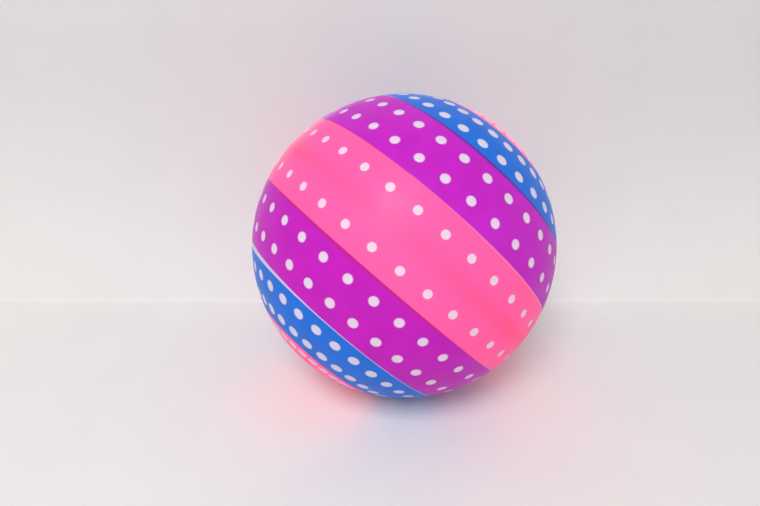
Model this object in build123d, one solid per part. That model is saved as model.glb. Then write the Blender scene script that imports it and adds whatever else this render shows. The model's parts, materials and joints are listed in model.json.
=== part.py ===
"""Inflatable play and juggling ball: a seamless moulded vinyl shell, a bonded air valve with a
push-in plug, and a polka-dot print sprayed in four bands on each half.

Units are millimetres and degrees. Every piece is first made about +Z, with the ball's centre at the
origin, the valve at the top and latitudes counted from the equator of the print. stand() then leans
the finished piece the way the ball lies at rest, with +Z up.
"""
from build123d import *
from math import cos, radians, sin, sqrt
import os

# ---------------------------------------------------------------- driving dimensions
ball_diameter = 220.0
wall_thickness = 0.45
ink_thickness = 0.1

# How the ball lies: its valve axis leans from vertical, towards a heading counted from +X to +Y.
axis_lean = 45.5
axis_heading = 23.5

# Valve: a soft seat bonded into a boss inside the shell, with a tapered plug pushed into it.
boss_radius = 9.0
boss_depth = 9.0
boss_flare_radius = 13.0
boss_flare_depth = 2.6
seat_flange_radius = 7.5
seat_flange_thickness = 1.6
seat_stem_radius = 5.5
seat_lip_radius = 6.4
seat_lip_thickness = 1.5
recess_radius = 4.7
recess_depth = 1.3
hole_top_radius = 2.7
hole_bottom_radius = 2.2
notch_radius = 1.1
plug_clearance = 0.1
plug_head_clearance = 0.2
plug_core_inset = 0.3
plug_rib_count = 3
plug_rib_height = 1.2
plug_nose_length = 2.0
plug_nose_radius = 1.2

# Print: latitudes of each band's edges, then (latitude, dots in the ring, dot diameter) for its rows.
# The dots are round windows in the ink, and a ring's dots stand in the same columns as the next.
pole_latitude = 90.0
bands = {
    "pink_belt": {"edges": (-3.0, 14.9), "rows": [(8.05, 34, 5.4)]},
    "purple_band": {"edges": (14.55, 37.5), "rows": [(20.45, 34, 6.0), (30.7, 34, 6.4)]},
    "blue_band": {"edges": (37.3, 59.2), "rows": [(42.75, 34, 7.2), (53.0, 34, 7.75)]},
    "pink_cap": {"edges": (59.25, pole_latitude), "rows": [(63.5, 34, 7.5), (75.0, 17, 7.5)]},
}
valve_window_radius = 8.6
window_cutter_length = 1.0

# Registration: how far each stencil sat from true, as (turn about the axis, slip away from the equator).
halves = {
    "valve_side": {
        "sign": 1,
        "registration": {
            "pink_belt": (1.2, -0.6),
            "purple_band": (0.95, -0.05),
            "blue_band": (1.9, -0.4),
            "pink_cap": (1.9, -0.35),
        },
    },
    "far_side": {
        "sign": -1,
        "registration": {
            "pink_belt": (-1.9, 0.35),
            "purple_band": (-1.6, 0.05),
            "blue_band": (0.05, 0.95),
            "pink_cap": (0.1, 0.9),
        },
    },
}

# ---------------------------------------------------------------- derived sizes
outer_radius = ball_diameter / 2
vinyl_radius = outer_radius - ink_thickness
inner_radius = vinyl_radius - wall_thickness
boss_bottom = vinyl_radius - boss_depth
flange_floor = vinyl_radius - seat_flange_thickness
seat_bottom = boss_bottom - seat_lip_thickness
recess_floor = vinyl_radius - recess_depth
plug_bottom = seat_bottom - plug_nose_length


def height_on_sphere(sphere_radius, radius):
    """Height at which a sphere about the origin is as wide as radius."""
    return sqrt(sphere_radius**2 - radius**2)


def on_arc(sphere_radius, latitude):
    """Point of the profile plane, as (radius, height), at a latitude of a sphere."""
    return (sphere_radius * cos(radians(latitude)), sphere_radius * sin(radians(latitude)))


def sphere_arc(sphere_radius, start, end):
    """Profile arc of a sphere about the origin between two (radius, height) points on it."""
    middle = Vector(start[0] + end[0], start[1] + end[1]).normalized() * sphere_radius
    return ThreePointArc(start, (middle.X, middle.Y), end)


def turned(edges):
    """Solid of revolution about +Z of the outline that the edges close in the profile plane."""
    outline = Plane.XZ * make_face(Wire(edges))
    return revolve(outline, Axis.Z)


def stand(piece):
    """Lean a piece made about +Z to the way the ball lies at rest."""
    return piece.rotate(Axis.Y, axis_lean).rotate(Axis.Z, axis_heading)


# ---------------------------------------------------------------- shell
def make_ball_shell():
    """Hollow vinyl shell, with the valve boss on its inside and the stepped pocket for the seat."""
    pocket_rim = (seat_flange_radius, height_on_sphere(vinyl_radius, seat_flange_radius))
    flare_foot = (boss_flare_radius, height_on_sphere(inner_radius, boss_flare_radius))
    outer_bottom = (0, -vinyl_radius)
    inner_bottom = (0, -inner_radius)
    boss_outline = Polyline(
        flare_foot,
        (boss_radius, inner_radius - boss_flare_depth),
        (boss_radius, boss_bottom),
        (seat_stem_radius, boss_bottom),
        (seat_stem_radius, flange_floor),
        (seat_flange_radius, flange_floor),
        pocket_rim,
    )
    outer_side = ThreePointArc(pocket_rim, (vinyl_radius, 0), outer_bottom)
    inner_side = ThreePointArc(inner_bottom, (inner_radius, 0), flare_foot)
    return turned([*boss_outline.edges(), outer_side, Line(outer_bottom, inner_bottom), inner_side])


# ---------------------------------------------------------------- valve
def hole_radius(height):
    """Radius of the seat's tapered hole at a height."""
    share = (height - seat_bottom) / (recess_floor - seat_bottom)
    return hole_bottom_radius + share * (hole_top_radius - hole_bottom_radius)


def make_valve_seat():
    """Soft seat: a flange flush with the shell, a stem through the boss and a lip below it."""
    rim = (seat_flange_radius, height_on_sphere(vinyl_radius, seat_flange_radius))
    mouth = (recess_radius, height_on_sphere(vinyl_radius, recess_radius))
    outline = Polyline(
        mouth,
        (recess_radius, recess_floor),
        (hole_top_radius, recess_floor),
        (hole_bottom_radius, seat_bottom),
        (seat_lip_radius, seat_bottom),
        (seat_lip_radius, boss_bottom),
        (seat_stem_radius, boss_bottom),
        (seat_stem_radius, flange_floor),
        (seat_flange_radius, flange_floor),
        rim,
    )
    seat = turned([*outline.edges(), sphere_arc(vinyl_radius, rim, mouth)])
    notch = Pos(recess_radius, 0, vinyl_radius) * Cylinder(notch_radius, 2 * recess_depth)
    return seat - notch


def make_valve_plug():
    """Plug: a domed head in the seat's recess and a tapered shank with ribs and a blunt nose."""
    head_radius = recess_radius - plug_head_clearance
    head_bottom = recess_floor + plug_clearance
    head_rim = (head_radius, height_on_sphere(vinyl_radius, head_radius))
    neck_radius = hole_radius(head_bottom) - plug_core_inset
    points = [head_rim, (head_radius, head_bottom), (neck_radius, head_bottom)]
    rib_pitch = (head_bottom - seat_bottom) / (plug_rib_count + 1)
    for rib in range(plug_rib_count):
        rib_top = head_bottom - (rib + 1) * rib_pitch + plug_rib_height
        rib_foot = rib_top - plug_rib_height
        points.append((hole_radius(rib_top) - plug_core_inset, rib_top))
        points.append((hole_radius(rib_foot) - plug_clearance, rib_foot))
        points.append((hole_radius(rib_foot) - plug_core_inset, rib_foot))
    points.append((hole_bottom_radius - plug_core_inset, seat_bottom))
    points.append((plug_nose_radius, plug_bottom))
    points.append((0, plug_bottom))
    points.append((0, vinyl_radius))
    outline = Polyline(*points)
    return turned([*outline.edges(), sphere_arc(vinyl_radius, (0, vinyl_radius), head_rim)])


# ---------------------------------------------------------------- print
def band_limits(half):
    """Latitudes that each band's ink covers. Where two stencils lapped, the earlier ink keeps the lap."""
    limits = {}
    covered = 0.0
    for band, layout in bands.items():
        slip = half["registration"][band][1]
        low = max(layout["edges"][0] + slip, covered)
        high = layout["edges"][1]
        if high < pole_latitude:
            high += slip
        limits[band] = (low, high)
        covered = high
    return limits


def make_ink(band, half, low, high):
    """Ink of one band of one half: a thin zone of the sphere with a round window for each dot."""
    sign = half["sign"]
    turn, slip = half["registration"][band]
    outer_low, outer_high = on_arc(outer_radius, sign * low), on_arc(outer_radius, sign * high)
    inner_low, inner_high = on_arc(vinyl_radius, sign * low), on_arc(vinyl_radius, sign * high)
    film = turned(
        [
            sphere_arc(outer_radius, outer_low, outer_high),
            Line(outer_high, inner_high),
            sphere_arc(vinyl_radius, inner_high, inner_low),
            Line(inner_low, outer_low),
        ]
    )
    windows = []
    for latitude, count, diameter in bands[band]["rows"]:
        radius, height = on_arc(outer_radius, sign * (latitude + slip))
        for dot in range(count):
            longitude = radians(turn + dot * 360 / count)
            centre = Vector(radius * cos(longitude), radius * sin(longitude), height)
            windows.append(Plane(origin=centre, z_dir=centre) * Cylinder(diameter / 2, window_cutter_length))
    return film - windows


# ---------------------------------------------------------------- assembly
def make_parts():
    """Every node of the ball by name, lying as it does at rest."""
    pieces = {
        "ball_shell": make_ball_shell(),
        "valve_seat": make_valve_seat(),
        "valve_plug": make_valve_plug(),
    }
    for half_name, half in halves.items():
        for band, (low, high) in band_limits(half).items():
            pieces[f"{band}_{half_name}"] = make_ink(band, half, low, high)
    valve_window = Pos(0, 0, outer_radius) * Cylinder(valve_window_radius, boss_depth)
    pieces["pink_cap_valve_side"] = pieces["pink_cap_valve_side"] - valve_window
    return {name: stand(piece) for name, piece in pieces.items()}


os.makedirs("parts", exist_ok=True)
for name, piece in make_parts().items():
    export_step(piece, f"parts/{name}.step")
    print(f"{name}: {len(piece.solids())} solid, {piece.volume:.1f} mm3")
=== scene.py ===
"""Looks of the polka-dot vinyl ball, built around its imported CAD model, in metres.

The print is made here as eight finely meshed ink layers with soft spray edges. The shell, the valve
seat and the plug are the CAD parts, with moulded vinyl materials.
"""

import json
import math

import bpy
import numpy as np
from mathutils import Matrix, Vector


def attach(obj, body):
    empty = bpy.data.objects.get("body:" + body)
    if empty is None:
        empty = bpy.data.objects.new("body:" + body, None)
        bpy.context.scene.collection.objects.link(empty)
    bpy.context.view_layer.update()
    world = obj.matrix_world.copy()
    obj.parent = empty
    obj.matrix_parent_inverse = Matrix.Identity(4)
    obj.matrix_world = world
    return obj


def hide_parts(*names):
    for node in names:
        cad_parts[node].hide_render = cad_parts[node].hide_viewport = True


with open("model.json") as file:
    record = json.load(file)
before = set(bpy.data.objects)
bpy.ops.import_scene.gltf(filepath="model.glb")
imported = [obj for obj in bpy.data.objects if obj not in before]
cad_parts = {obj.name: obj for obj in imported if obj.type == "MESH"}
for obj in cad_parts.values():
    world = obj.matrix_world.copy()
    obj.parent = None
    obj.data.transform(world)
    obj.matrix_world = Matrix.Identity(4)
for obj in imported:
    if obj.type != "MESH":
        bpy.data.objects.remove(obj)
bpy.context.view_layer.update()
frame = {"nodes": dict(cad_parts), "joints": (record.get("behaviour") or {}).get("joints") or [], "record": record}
nodes = frame["nodes"]
mounts = {mount["name"]: mount for mount in frame["record"]["mounts"]}
plug_joint = frame["joints"][0]

# ---------------------------------------------------------------- sizes, in metres and degrees
MM = 0.001
ball_radius = -mounts["rest_spot"]["pos_m"][2]
ink_thickness = 0.1 * MM
vinyl_radius = ball_radius - ink_thickness
valve_axis = Vector(plug_joint["axis"]).normalized()
valve_window_radius = 8.6 * MM
pole_latitude = 90.0

# Print, laid out as in the CAD model, to 0.1 degrees: edges and rows are latitudes from the print's
# equator, and each row is (latitude, dots in the ring, dot diameter). cell is half the height of the
# mesh cell round a dot.
bands = {
    "pink_belt": {"edges": (-3.0, 14.9), "cell": 3.0, "rows": [(8.05, 34, 5.4 * MM)]},
    "purple_band": {
        "edges": (14.45, 37.5),
        "cell": 3.6,
        "rows": [(20.45, 34, 6.0 * MM), (30.7, 34, 6.4 * MM)],
    },
    "blue_band": {
        "edges": (37.3, 59.2),
        "cell": 3.6,
        "rows": [(42.75, 34, 7.2 * MM), (53.0, 34, 7.75 * MM)],
    },
    "pink_cap": {
        "edges": (59.25, pole_latitude),
        "cell": 3.0,
        "rows": [(63.5, 34, 7.5 * MM), (75.0, 17, 7.5 * MM)],
    },
}

# Registration of each stencil: (turn about the axis, slip away from the equator, tilt, heading of the
# tilt, oval), all in degrees. The stencils clamp on from two sides, so they go oval along one heading.
halves = {
    "valve_side": {
        "sign": 1,
        "registration": {
            "pink_belt": (1.2, -0.9, 0.6, -166.0, 0.0),
            "purple_band": (0.95, -0.08, 0.15, -126.0, 0.0),
            "blue_band": (1.9, -0.04, 0.3, 149.0, -0.8),
            "pink_cap": (1.9, 0.0, 0.3, 149.0, -0.8),
        },
    },
    "far_side": {
        "sign": -1,
        "registration": {
            "pink_belt": (-1.9, -0.43, 0.52, -171.0, 0.84),
            "purple_band": (-1.6, -0.05, 0.0, 0.0, 0.3),
            "blue_band": (0.05, 1.1, 0.7, 149.0, -0.4),
            "pink_cap": (0.1, 1.0, 0.7, 149.0, -0.4),
        },
    },
}
oval_heading = 57.0

# Pink's double coat along the equator: it fades out at this latitude and is faintest at this longitude.
streak_half_width = 5.5
streak_low = 0.3
streak_heading = -131.0

# Mesh of the ink: segments along and across a dot's cell, rings either side of a dot's edge, rows of
# quads between the cells, and the latitudes where the closed pole's rings thin out. The window is cut
# at the innermost ring, and the ink fades in over the others.
cell_columns = 8
cell_rows = 8
ring_offsets = (-0.6 * MM, -0.3 * MM, 0.0, 0.3 * MM, 0.6 * MM)
rows_between = 3
rows_to_pole = 6
thinning_start = 86.0
thinning_latitudes = (87.2, 88.2, 89.1)
weld_grid = 1e-7
sharp_angle = 40.0

# What the shader reads as no dot, rim or lap nearby, in millimetres.
far_away = 50.0


# ---------------------------------------------------------------- places on the ball
def print_frame():
    """Columns are the print's own axes in the row frame: +Z is the valve axis and +X leans down."""
    lean = math.acos(valve_axis.z)
    heading = math.atan2(valve_axis.y, valve_axis.x)
    turn = Matrix.Rotation(heading, 3, "Z") @ Matrix.Rotation(lean, 3, "Y")
    return np.array(turn)


print_axes = print_frame()


def direction(latitude, longitude):
    """Unit vectors in the row frame at print latitudes and longitudes in degrees."""
    latitude, longitude = np.radians(latitude), np.radians(longitude)
    flat = np.cos(latitude)
    local = np.stack(
        [flat * np.cos(longitude), flat * np.sin(longitude), np.sin(latitude) * np.ones_like(longitude)],
        axis=-1,
    )
    return local @ print_axes.T


def latitude_longitude(points):
    """Print latitudes and longitudes, in degrees, of points in the row frame."""
    local = points @ print_axes
    local = local / np.linalg.norm(local, axis=1, keepdims=True)
    latitude = np.degrees(np.arcsin(np.clip(local[:, 2], -1, 1)))
    return latitude, np.degrees(np.arctan2(local[:, 1], local[:, 0]))


def arc_mm(degrees):
    """Length in millimetres of an arc on the ball's surface."""
    return np.radians(degrees) * ball_radius / MM


# ---------------------------------------------------------------- where each stencil's ink lies
class Stencil:
    """One band of one half: its registration, its edges and the neighbours it laps or leaves a gap to."""

    def __init__(self, band, half_name):
        self.band = band
        self.layout = bands[band]
        self.sign = halves[half_name]["sign"]
        registration = halves[half_name]["registration"][band]
        self.turn, self.slip, self.tilt, self.tilt_heading, self.oval = registration
        self.before = None
        self.after = None

    def shift(self, longitude):
        """How far the stencil sits from true, away from the equator, at a longitude."""
        tilt = self.tilt * np.cos(np.radians(longitude - self.tilt_heading))
        return self.slip + tilt + self.oval * np.cos(2 * np.radians(longitude - oval_heading))

    def own_edge(self, side, longitude):
        """The stencil's own lower (0) or upper (1) edge."""
        edge = self.layout["edges"][side]
        if edge == pole_latitude:
            return np.full_like(longitude, pole_latitude)
        return edge + self.shift(longitude)

    def low(self, longitude):
        """Where this ink starts: at its own edge, or where the ink before it ends if they lap."""
        if self.before is None:
            return np.zeros_like(longitude)
        return np.maximum(self.own_edge(0, longitude), self.before.own_edge(1, longitude))

    def high(self, longitude):
        """Where this ink ends."""
        if self.band == "pink_cap" and self.sign > 0:
            window = math.degrees(math.asin(valve_window_radius / ball_radius))
            return np.full_like(longitude, pole_latitude - window)
        return self.own_edge(1, longitude)


def make_stencils():
    """All stencils by node name, linked to their neighbours."""
    stencils = {}
    for half_name in halves:
        row = [Stencil(band, half_name) for band in bands]
        for lower, upper in zip(row, row[1:]):
            lower.after = upper
            upper.before = lower
        for stencil in row:
            stencils[f"{stencil.band}_{half_name}"] = stencil
    return stencils


# ---------------------------------------------------------------- ink mesh
class Sheet:
    """Collects the polygons of a sheet on the unit sphere, each a list of unit vectors."""

    def __init__(self):
        self.polygons = []

    def strip(self, lower, upper):
        """Quads between two closed rings of the same number of points."""
        count = len(lower)
        for i in range(count):
            j = (i + 1) % count
            self.polygons.append([lower[i], lower[j], upper[j], upper[i]])

    def halve(self, lower, upper):
        """Triangles from a closed ring to one with half as many points."""
        count = len(upper)
        for i in range(count):
            j = (i + 1) % count
            first, middle, last = lower[2 * i], lower[2 * i + 1], lower[(2 * i + 2) % len(lower)]
            self.polygons.append([first, middle, upper[i]])
            self.polygons.append([middle, upper[j], upper[i]])
            self.polygons.append([middle, last, upper[j]])

    def fan(self, ring, tip):
        """Triangles from a closed ring to one point."""
        for i in range(len(ring)):
            self.polygons.append([ring[i], ring[(i + 1) % len(ring)], tip])


def ring_points(stencil, latitudes, longitudes):
    """Points of a closed ring at latitudes counted away from the equator."""
    return direction(stencil.sign * latitudes, longitudes)


def fill(sheet, stencil, longitudes, start, end, steps):
    """Even rows of quads between two lines of latitude."""
    for step in range(steps):
        lower = start + (end - start) * step / steps
        upper = start + (end - start) * (step + 1) / steps
        sheet.strip(ring_points(stencil, lower, longitudes), ring_points(stencil, upper, longitudes))


def ring_dots(stencil):
    """Dots in the band's fullest ring, which sets how many columns its mesh has."""
    return max(count for _, count, _ in stencil.layout["rows"])


def dot_cell(sheet, stencil, row, dot):
    """One cell of a row: quads from the cell's border, through rings about the dot, to the open window."""
    latitude, count, diameter = row
    half_height = stencil.layout["cell"]
    pitch = 360 / count
    columns = cell_columns * ring_dots(stencil) // count
    centre_longitude = stencil.turn + dot * pitch
    across = centre_longitude + pitch * (np.arange(columns + 1) / columns - 0.5)
    up = latitude + half_height * (2 * np.arange(cell_rows + 1) / cell_rows - 1)
    longitudes = np.concatenate(
        [across[:-1], np.full(cell_rows, across[-1]), across[:0:-1], np.full(cell_rows, across[0])]
    )
    latitudes = np.concatenate(
        [np.full(columns, up[0]), up[:-1], np.full(columns, up[-1]), up[:0:-1]]
    )
    border = direction(stencil.sign * (latitudes + stencil.shift(longitudes)), longitudes)
    place = np.array([centre_longitude])
    middle = stencil.sign * (latitude + stencil.shift(place))
    centre = direction(middle, place)[0]
    north = direction(middle + 90, place)[0]
    east = np.cross(north, centre)
    angle = np.arctan2(border @ north, border @ east)
    spread = np.arccos(np.clip(border @ centre, -1, 1))
    radii = [np.full_like(spread, (diameter / 2 + offset) / ball_radius) for offset in ring_offsets]
    radii.append((radii[-1] + spread) / 2)
    rings = []
    for radius in radii:
        outward = np.cos(angle)[:, None] * east + np.sin(angle)[:, None] * north
        rings.append(np.cos(radius)[:, None] * centre + np.sin(radius)[:, None] * outward)
    rings.append(border)
    for inner, outer in zip(rings, rings[1:]):
        sheet.strip(outer, inner)


def close_pole(sheet, stencil, longitudes, line):
    """Rows of quads up to near the pole, then rings with fewer and fewer points, and a fan."""
    last = np.full_like(longitudes, thinning_start)
    fill(sheet, stencil, longitudes, line, last, rows_to_pole)
    ring = ring_points(stencil, last, longitudes)
    for latitude in thinning_latitudes:
        longitudes = longitudes[::2]
        smaller = ring_points(stencil, np.full_like(longitudes, latitude), longitudes)
        sheet.halve(ring, smaller)
        ring = smaller
    sheet.fan(ring, direction(stencil.sign * pole_latitude, 0.0))


def ink_sheet(stencil):
    """The ink's outer face as polygons on the unit sphere, with an open window for each dot."""
    sheet = Sheet()
    count = ring_dots(stencil) * cell_columns
    pitch = 360 / ring_dots(stencil)
    longitudes = stencil.turn - pitch / 2 + np.arange(count) * 360 / count
    shift = stencil.shift(longitudes)
    half_height = stencil.layout["cell"]
    line = stencil.low(longitudes)
    for row in stencil.layout["rows"]:
        latitude, dots, _ = row
        fill(sheet, stencil, longitudes, line, latitude - half_height + shift, rows_between)
        for dot in range(dots):
            dot_cell(sheet, stencil, row, dot)
        line = latitude + half_height + shift
    end = stencil.high(longitudes)
    if end[0] < pole_latitude:
        fill(sheet, stencil, longitudes, line, end, rows_between)
    else:
        close_pole(sheet, stencil, longitudes, line)
    return sheet


def welded(polygons):
    """Shared vertices and index lists for polygons given by their corner points."""
    corners = np.concatenate([np.asarray(polygon) for polygon in polygons])
    keys = np.round(corners / weld_grid).astype(np.int64)
    _, first, index = np.unique(keys, axis=0, return_index=True, return_inverse=True)
    index = index.ravel()
    faces = []
    start = 0
    for polygon in polygons:
        faces.append(index[start:start + len(polygon)].tolist())
        start += len(polygon)
    return corners[first], faces


def closed_film(points, faces, flip):
    """A closed film: an outer face, an inner one on the vinyl, and walls at every edge."""
    count = len(points)
    if flip:
        faces = [face[::-1] for face in faces]
    vertices = np.concatenate([points * ball_radius, points * vinyl_radius])
    sides = [side for face in faces for side in zip(face, face[1:] + face[:1])]
    known = set(sides)
    walls = [(b, a, a + count, b + count) for a, b in sides if (b, a) not in known]
    inner = [[corner + count for corner in face[::-1]] for face in faces]
    return vertices, faces + inner + walls


# ---------------------------------------------------------------- what the ink's shader reads
def nearest_dot(stencil, latitude, longitude):
    """Distance in millimetres to the edge of the nearest dot: negative inside it."""
    here = direction(stencil.sign * latitude, longitude)
    nearest = np.full(len(latitude), far_away)
    for row_latitude, count, diameter in stencil.layout["rows"]:
        pitch = 360 / count
        centre = stencil.turn + np.round((longitude - stencil.turn) / pitch) * pitch
        centre_latitude = stencil.sign * (row_latitude + stencil.shift(centre))
        there = direction(centre_latitude, centre)
        gap = np.arccos(np.clip((here * there).sum(1), -1, 1)) * ball_radius - diameter / 2
        nearest = np.minimum(nearest, gap / MM)
    return nearest


def free_rim(stencil, latitude, longitude):
    """Distance in millimetres in from an edge where bare vinyl shows beyond the ink."""
    rim = np.full(len(latitude), far_away)
    if stencil.before is not None:
        gap = stencil.own_edge(0, longitude) - stencil.before.own_edge(1, longitude)
        inside = arc_mm(latitude - stencil.low(longitude))
        rim = np.where(gap > 0, np.minimum(rim, inside), rim)
    if stencil.after is not None:
        gap = stencil.after.own_edge(0, longitude) - stencil.own_edge(1, longitude)
        inside = arc_mm(stencil.high(longitude) - latitude)
        rim = np.where(gap > 0, np.minimum(rim, inside), rim)
    elif stencil.sign > 0:
        rim = np.minimum(rim, arc_mm(stencil.high(longitude) - latitude))
    return rim


def lap_depth(stencil, latitude, longitude):
    """Distance in millimetres into the lap under the next ink: negative outside it."""
    if stencil.after is None:
        return np.full(len(latitude), -far_away)
    return arc_mm(latitude - stencil.after.own_edge(0, longitude))


def double_coat(stencil, latitude, longitude):
    """Share of a second coat of pink along the equator, where both halves were sprayed."""
    if stencil.before is not None:
        return np.zeros(len(latitude))
    across = np.clip(1 - np.abs(latitude) / streak_half_width, 0, 1)
    along = streak_low + (1 - streak_low) * np.sin(np.radians(longitude - streak_heading)) ** 2
    return across * across * (3 - 2 * across) * along


def write_attribute(mesh, name, values):
    """A number per vertex that the material reads."""
    attribute = mesh.attributes.new(name, "FLOAT", "POINT")
    attribute.data.foreach_set("value", values.astype(np.float32))


def make_ink(name, stencil, material):
    """One ink layer as a closed, finely meshed piece that replaces its CAD film."""
    points, faces = welded(ink_sheet(stencil).polygons)
    vertices, faces = closed_film(points, faces, stencil.sign < 0)
    mesh = bpy.data.meshes.new(f"{name}_ink")
    mesh.from_pydata(vertices.tolist(), [], faces)
    mesh.polygons.foreach_set("use_smooth", [True] * len(mesh.polygons))
    mesh.set_sharp_from_angle(angle=math.radians(sharp_angle))
    latitude, longitude = latitude_longitude(vertices)
    latitude = latitude * stencil.sign
    write_attribute(mesh, "dot_mm", nearest_dot(stencil, latitude, longitude))
    write_attribute(mesh, "rim_mm", free_rim(stencil, latitude, longitude))
    write_attribute(mesh, "lap_mm", lap_depth(stencil, latitude, longitude))
    write_attribute(mesh, "double_coat", double_coat(stencil, latitude, longitude))
    mesh.materials.append(material)
    piece = bpy.data.objects.new(f"{name}_ink", mesh)
    bpy.context.scene.collection.objects.link(piece)
    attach(piece, "ball")
    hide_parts(name)
    return piece


# ---------------------------------------------------------------- materials
class Graph:
    """Short calls for building a material's nodes."""

    def __init__(self, name):
        self.material = bpy.data.materials.new(name)
        self.material.use_nodes = True
        self.tree = self.material.node_tree
        self.shader = self.tree.nodes["Principled BSDF"]

    def node(self, kind, **settings):
        node = self.tree.nodes.new(kind)
        for setting, value in settings.items():
            setattr(node, setting, value)
        return node

    def feed(self, socket, value):
        """Set a socket to a number or colour, or link another node's output to it."""
        if isinstance(value, bpy.types.NodeSocket):
            self.tree.links.new(value, socket)
        elif isinstance(value, (int, float)):
            socket.default_value = value
        else:
            socket.default_value = (*value, 1.0)

    def maths(self, operation, first, second):
        node = self.node("ShaderNodeMath", operation=operation)
        self.feed(node.inputs[0], first)
        self.feed(node.inputs[1], second)
        return node.outputs[0]

    def ramp(self, value, low, high, start=0.0, end=1.0):
        """A smooth rise from start to end while value goes from low to high."""
        node = self.node("ShaderNodeMapRange", interpolation_type="SMOOTHSTEP")
        self.feed(node.inputs["Value"], value)
        node.inputs["From Min"].default_value = low
        node.inputs["From Max"].default_value = high
        node.inputs["To Min"].default_value = start
        node.inputs["To Max"].default_value = end
        return node.outputs["Result"]

    def mix(self, share, first, second):
        """A mix of two colours. The node's sockets for them share their names, so they go by number."""
        node = self.node("ShaderNodeMix", data_type="RGBA")
        self.feed(node.inputs["Factor"], share)
        self.feed(node.inputs[6], first)
        self.feed(node.inputs[7], second)
        return node.outputs[2]

    def scale(self, colour, factor):
        node = self.node("ShaderNodeVectorMath", operation="SCALE")
        self.feed(node.inputs[0], colour)
        self.feed(node.inputs["Scale"], factor)
        return node.outputs[0]

    def vector(self, operation, value):
        node = self.node("ShaderNodeVectorMath", operation=operation)
        self.feed(node.inputs[0], value)
        return node.outputs[0]

    def toward(self, value, direction):
        """How far a unit vector points along a fixed direction, from -1 to 1."""
        node = self.node("ShaderNodeVectorMath", operation="DOT_PRODUCT")
        self.feed(node.inputs[0], value)
        node.inputs[1].default_value = direction
        return node.outputs["Value"]

    def attribute(self, name):
        return self.node("ShaderNodeAttribute", attribute_name=name).outputs["Fac"]

    def place(self):
        return self.node("ShaderNodeTexCoord").outputs["Object"]

    def noise(self, size, detail=3.0):
        """Soft noise from 0 to 1 with blotches of about that size in metres."""
        node = self.node("ShaderNodeTexNoise")
        self.feed(node.inputs["Vector"], self.place())
        node.inputs["Scale"].default_value = 1 / size
        node.inputs["Detail"].default_value = detail
        return node.outputs["Fac"]

    def bump(self, height, strength, distance):
        node = self.node("ShaderNodeBump")
        node.inputs["Strength"].default_value = strength
        node.inputs["Distance"].default_value = distance
        self.feed(node.inputs["Height"], height)
        self.feed(self.shader.inputs["Normal"], node.outputs["Normal"])


# Colours of the vinyl and inks, as linear RGB, and of the darker lines where two inks lap.
vinyl_white = (0.78, 0.70, 0.80)
pink = (0.98, 0.108, 0.37)
pink_double = (0.98, 0.08, 0.245)
# Painted glow: a constant emission for the pink ink that stands in for its fluorescence. It shines whatever light
# falls on it.
pink_fluorescence_painted_glow = (0.17, 0.003, 0.012)
purple_valve_side = (0.525, 0.014, 0.52)
purple_far_side = (0.522, 0.009, 0.475)
blue = (0.008, 0.153, 0.685)
purple_over_pink = (0.37, 0.008, 0.265)
blue_over_purple = (0.11, 0.03, 0.39)
pink_over_blue = (0.40, 0.06, 0.45)
seat_white = (0.80, 0.77, 0.76)
plug_white = (0.86, 0.85, 0.84)
black = (0.0, 0.0, 0.0)

# Share of ink that drifted under the stencils, and into open and nearly closed gaps between bands. The
# far side's widest gap is misted towards one heading, from and to these cosines of the angle from it.
mist = 0.12
open_gap = 0.25
closed_gap = 0.85
overspray_heading = -31.0
overspray_cosines = (0.1, 0.5)

# Millimetres over which ink fades in at a dot's edge, at a free rim and into a lap.
dot_fade = (-0.6, 0.6)
rim_fade = (0.0, 0.4)
lap_fade = (-0.8, 0.3)

# Surface: sheen, its wander, and the sizes of its blotches and its orange peel.
print_specular = 0.15
print_roughness = 0.42
seat_roughness = 0.5
plug_roughness = 0.3
roughness_wander = 0.05
wander_size = 18 * MM
ink_cloud_size = 14 * MM
moulded_cloud_size = 3 * MM
peel_size = 1.1 * MM
peel_height = 0.02 * MM
peel_strength = 0.25
noise_range = (0.25, 0.75)
narrow_noise_range = (0.3, 0.7)
pink_cloudiness = 0.02
dark_ink_cloudiness = 0.05
moulded_shade = 0.93
moulded_subsurface = 0.15
subsurface_depth = 1.5 * MM


def satin(graph, roughness):
    """Sprayed or moulded vinyl: a soft sheen that varies a little, over faint orange peel."""
    low = roughness - roughness_wander
    high = roughness + roughness_wander
    wander = graph.ramp(graph.noise(wander_size), *noise_range, start=low, end=high)
    graph.feed(graph.shader.inputs["Roughness"], wander)
    graph.bump(graph.noise(peel_size, detail=2.0), peel_strength, peel_height)


def ink_material(name, colour, lap_colour, double_colour, rim_share, cloudiness, glow):
    """Ink with soft spray edges, a darker line at laps, the belt's double coat, cloudy density, and a painted glow
    where one is given.
    """
    graph = Graph(name)
    at_dots = graph.ramp(graph.attribute("dot_mm"), *dot_fade)
    at_rims = graph.ramp(graph.attribute("rim_mm"), *rim_fade, start=rim_share)
    coverage = graph.maths("MAXIMUM", graph.maths("MULTIPLY", at_dots, at_rims), mist)
    doubled = graph.mix(graph.attribute("double_coat"), colour, double_colour)
    lapped = graph.mix(graph.ramp(graph.attribute("lap_mm"), *lap_fade), doubled, lap_colour)
    noise = graph.noise(ink_cloud_size, detail=4.0)
    cloud = graph.ramp(noise, *noise_range, start=1 - cloudiness, end=1 + cloudiness)
    dense = graph.scale(lapped, cloud)
    graph.feed(graph.shader.inputs["Base Color"], graph.mix(coverage, vinyl_white, dense))
    # Painted glow: the ink gives off this light under its coverage, whatever light falls on it.
    if glow is not None:
        graph.feed(graph.shader.inputs["Emission Color"], graph.mix(coverage, black, glow))
        graph.shader.inputs["Emission Strength"].default_value = 1.0
    graph.shader.inputs["Specular IOR Level"].default_value = print_specular
    satin(graph, print_roughness)
    return graph.material


def tinted(ink, share):
    """Vinyl under that share of an ink's mist."""
    return tuple(white + share * (colour - white) for white, colour in zip(vinyl_white, ink))


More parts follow.
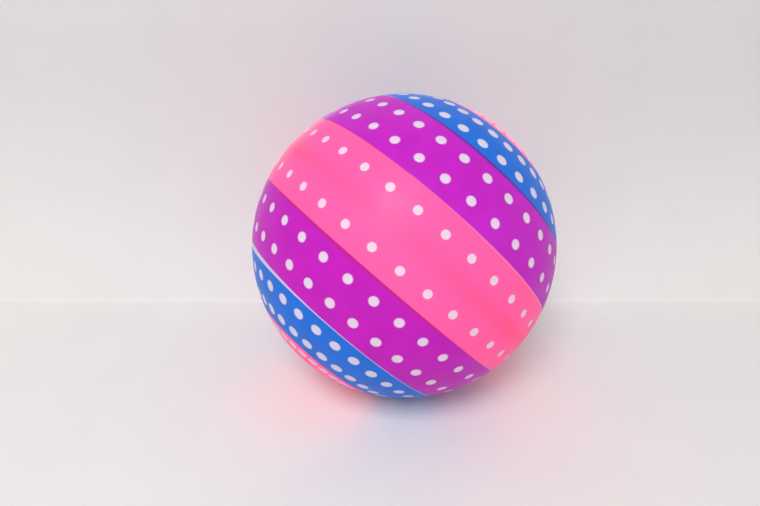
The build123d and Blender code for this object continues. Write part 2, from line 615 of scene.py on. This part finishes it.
def zone_colours(graph, height, far_gap):
    """The skin's colours by latitude, with that share of blue mist in the far side's widest gap."""
    zones = [
        (-pole_latitude, tinted(pink, mist)),
        (-60.2, tinted(blue, mist)),
        (-39.0, tinted(blue, far_gap)),
        (-37.2, tinted(purple_far_side, mist)),
        (-15.8, tinted(purple_far_side, closed_gap)),
        (-12.9, tinted(pink, mist)),
        (13.6, tinted(pink, closed_gap)),
        (14.9, tinted(purple_valve_side, mist)),
        (36.2, tinted(blue, open_gap)),
        (37.9, tinted(blue, mist)),
        (59.0, tinted(pink, mist)),
    ]
    ramp = graph.node("ShaderNodeValToRGB")
    graph.feed(ramp.inputs[0], height)
    ramp.color_ramp.interpolation = "CONSTANT"
    stops = ramp.color_ramp.elements
    while len(stops) < len(zones):
        stops.new(1.0)
    for stop, (latitude, colour) in zip(stops, zones):
        stop.position = 0.5 + 0.5 * math.sin(math.radians(latitude))
        stop.color = (*colour, 1.0)
    return ramp.outputs["Color"]


def shell_material():
    """White vinyl with a faint mist of each band's ink, and more of it in the gaps between bands."""
    graph = Graph("white_vinyl_skin")
    outward = graph.vector("NORMALIZE", graph.place())
    height = graph.node("ShaderNodeMapRange")
    graph.feed(height.inputs["Value"], graph.toward(outward, valve_axis))
    height.inputs["From Min"].default_value = -1.0
    near_overspray = graph.toward(outward, direction(0.0, overspray_heading))
    misted = graph.ramp(near_overspray, *overspray_cosines)
    clear_side = zone_colours(graph, height.outputs["Result"], open_gap)
    misted_side = zone_colours(graph, height.outputs["Result"], closed_gap)
    graph.feed(graph.shader.inputs["Base Color"], graph.mix(misted, clear_side, misted_side))
    graph.shader.inputs["Specular IOR Level"].default_value = print_specular
    satin(graph, print_roughness)
    return graph.material


def moulded_material(name, colour, roughness):
    """Plain moulded vinyl or plastic for the valve's pieces."""
    graph = Graph(name)
    cloud = graph.ramp(graph.noise(moulded_cloud_size), *narrow_noise_range)
    shade = tuple(moulded_shade * channel for channel in colour)
    graph.feed(graph.shader.inputs["Base Color"], graph.mix(cloud, shade, colour))
    graph.shader.inputs["Subsurface Weight"].default_value = moulded_subsurface
    graph.shader.inputs["Subsurface Scale"].default_value = subsurface_depth
    satin(graph, roughness)
    return graph.material


# ---------------------------------------------------------------- object
def dress_cad_pieces():
    """Moulded finishes on the CAD shell, seat and plug."""
    finishes = {
        "ball_shell": shell_material(),
        "valve_seat": moulded_material("soft_vinyl_seat", seat_white, seat_roughness),
        "valve_plug": moulded_material("plug_white", plug_white, plug_roughness),
    }
    for name, material in finishes.items():
        nodes[name].data.materials.clear()
        nodes[name].data.materials.append(material)
    return [nodes[name] for name in finishes]


def purple_material(half_name, colour):
    """Purple ink of one half. The two halves were sprayed with slightly different purples."""
    return ink_material(
        f"purple_ink_{half_name}",
        colour,
        lap_colour=blue_over_purple,
        double_colour=colour,
        rim_share=closed_gap,
        cloudiness=dark_ink_cloudiness,
        glow=None,
    )


def make_print():
    """All eight ink layers."""
    pink_ink = ink_material(
        "pink_ink_print",
        pink,
        lap_colour=purple_over_pink,
        double_colour=pink_double,
        rim_share=closed_gap,
        cloudiness=pink_cloudiness,
        glow=pink_fluorescence_painted_glow,
    )
    blue_ink = ink_material(
        "blue_ink_print",
        blue,
        lap_colour=pink_over_blue,
        double_colour=blue,
        rim_share=open_gap,
        cloudiness=dark_ink_cloudiness,
        glow=None,
    )
    purple_inks = {
        "valve_side": purple_material("valve_side", purple_valve_side),
        "far_side": purple_material("far_side", purple_far_side),
    }
    slots = {
        "pink_belt": "pink_ink",
        "pink_cap": "pink_ink",
        "purple_band": "purple_ink",
        "blue_band": "blue_ink",
    }
    stencils = make_stencils()
    pieces = []
    for half_name in halves:
        inks = {"pink_ink": pink_ink, "blue_ink": blue_ink, "purple_ink": purple_inks[half_name]}
        for band, slot in slots.items():
            name = f"{band}_{half_name}"
            piece = make_ink(name, stencils[name], inks[slot])
            pieces.append(piece)
    return pieces


# ---------------------------------------------------------------- studio
camera_elevation = 21.0
camera_distance = 3.5 * ball_radius
camera_lens = 24.15
ball_right_of_axis = 2.51
ball_above_axis = 0.76

# Sweep: a paper floor that turns up into a wall close behind the ball. Its colour darkens with height, which is
# painted shade for the upper wall that gets less light.
wall_behind_centre = 1.17 * ball_radius
wall_top = 0.8
sweep_reach = 3.0
cove_radius = 3 * MM
cove_steps = 6
sweep_low = (0.85, 0.84, 0.825)
sweep_high_painted_shade = (0.66, 0.64, 0.65)
sweep_painted_shade_height = 1.5 * ball_radius
sweep_grain_size = 50 * MM
sweep_grain = 0.985
sweep_roughness = 0.7
sweep_specular = 0.2

# Softboxes: (place, size, watts). The one behind only lights the ball.
softboxes = {
    "key_softbox": ((-0.25, -1.05, 1.1), (0.6, 0.6), 14.4),
    "low_softbox": ((0.0, -1.6, 0.2), (1.8, 0.5), 1.3),
    "left_softbox": ((-1.4, -0.6, 0.4), (1.2, 0.8), 2.0),
    "right_softbox": ((1.4, -0.6, 0.4), (1.2, 0.8), 2.8),
    "back_softbox": ((0.0, 1.5, 0.05), (1.8, 0.8), 7.0),
}

# Surround: its strength as a light, and as the camera sees it.
surround_colour = (1.0, 0.99, 0.98)
surround_light = 0.32
surround_seen = 0.75


def make_camera():
    """A wide lens close to the ball, looking down on it along +Y."""
    data = bpy.data.cameras.new("camera")
    data.lens = camera_lens
    camera = bpy.data.objects.new("camera", data)
    tip = math.radians(camera_elevation)
    right = Vector((1, 0, 0))
    forward = Vector((0, math.cos(tip), -math.sin(tip)))
    up = right.cross(forward)
    aside = math.tan(math.radians(ball_right_of_axis))
    above = math.tan(math.radians(ball_above_axis))
    to_ball = (forward + aside * right + above * up).normalized() * camera_distance
    camera.location = -to_ball
    camera.rotation_euler = (math.pi / 2 - tip, 0, 0)
    bpy.context.scene.collection.objects.link(camera)
    bpy.context.scene.camera = camera


def sweep_material():
    """Matt paper, seen only from its front, so that the wall doesn't hide the ball from behind."""
    graph = Graph("sweep_paper")
    place = graph.node("ShaderNodeSeparateXYZ")
    graph.feed(place.inputs[0], graph.place())
    # Painted shade: the paper's colour darkens from the floor towards the top of the wall, which gets less light.
    shade = graph.ramp(place.outputs["Z"], -ball_radius, sweep_painted_shade_height)
    noise = graph.noise(sweep_grain_size, detail=2.0)
    grain = graph.ramp(noise, *narrow_noise_range, start=sweep_grain)
    tone = graph.scale(graph.mix(shade, sweep_low, sweep_high_painted_shade), grain)
    graph.feed(graph.shader.inputs["Base Color"], tone)
    graph.shader.inputs["Roughness"].default_value = sweep_roughness
    graph.shader.inputs["Specular IOR Level"].default_value = sweep_specular
    one_sided = graph.node("ShaderNodeMixShader")
    graph.feed(one_sided.inputs[0], graph.node("ShaderNodeNewGeometry").outputs["Backfacing"])
    graph.feed(one_sided.inputs[1], graph.shader.outputs[0])
    graph.feed(one_sided.inputs[2], graph.node("ShaderNodeBsdfTransparent").outputs[0])
    graph.feed(graph.tree.nodes["Material Output"].inputs[0], one_sided.outputs[0])
    return graph.material


def make_sweep():
    """The floor at the ball's lowest point, a tight cove, the wall, and more floor behind the wall."""
    floor_z = -ball_radius
    profile = [(-sweep_reach, floor_z)]
    for step in range(cove_steps + 1):
        angle = math.radians(90 * step / cove_steps)
        across = wall_behind_centre - cove_radius * (1 - math.sin(angle))
        profile.append((across, floor_z + cove_radius * (1 - math.cos(angle))))
    profile.append((wall_behind_centre, wall_top))
    starts = list(range(len(profile) - 1))
    starts.append(len(profile))
    profile += [(wall_behind_centre, floor_z), (sweep_reach, floor_z)]
    vertices = [(side * sweep_reach, y, z) for y, z in profile for side in (-1, 1)]
    faces = [(2 * i, 2 * i + 1, 2 * i + 3, 2 * i + 2) for i in starts]
    mesh = bpy.data.meshes.new("sweep")
    mesh.from_pydata(vertices, [], faces)
    mesh.polygons.foreach_set("use_smooth", [True] * len(faces))
    mesh.materials.append(sweep_material())
    sweep = bpy.data.objects.new("sweep", mesh)
    bpy.context.scene.collection.objects.link(sweep)


def make_light(name, blockers):
    """A softbox turned to the ball. Only the blockers shade it, so the wall doesn't."""
    place, size, watts = softboxes[name]
    data = bpy.data.lights.new(name, "AREA")
    data.shape = "RECTANGLE"
    data.size, data.size_y = size
    data.energy = watts
    light = bpy.data.objects.new(name, data)
    light.location = place
    light.rotation_euler = (-Vector(place)).to_track_quat("-Z", "Y").to_euler()
    light.visible_camera = False
    light.light_linking.blocker_collection = blockers
    bpy.context.scene.collection.objects.link(light)
    return light


def make_surround():
    """A pale surround that looks brighter than the light it gives."""
    world = bpy.data.worlds.new("surround")
    world.use_nodes = True
    tree = world.node_tree
    background = tree.nodes["Background"]
    background.inputs["Color"].default_value = (*surround_colour, 1.0)
    light_path = tree.nodes.new("ShaderNodeLightPath")
    strength = tree.nodes.new("ShaderNodeMapRange")
    strength.inputs["To Min"].default_value = surround_light
    strength.inputs["To Max"].default_value = surround_seen
    tree.links.new(light_path.outputs["Is Camera Ray"], strength.inputs["Value"])
    tree.links.new(strength.outputs["Result"], background.inputs["Strength"])
    bpy.context.scene.world = world


def make_lighting(pieces):
    """A key light high in front, soft fills, and one behind that only lights the ball."""
    ball = bpy.data.collections.new("ball_pieces")
    for piece in pieces:
        ball.objects.link(piece)
    lights = {name: make_light(name, ball) for name in softboxes}
    lights["back_softbox"].light_linking.receiver_collection = ball
    make_surround()
    bpy.context.scene.view_settings.view_transform = "Standard"


make_camera()
make_sweep()
cad_pieces = dress_cad_pieces()
make_lighting(make_print() + cad_pieces)
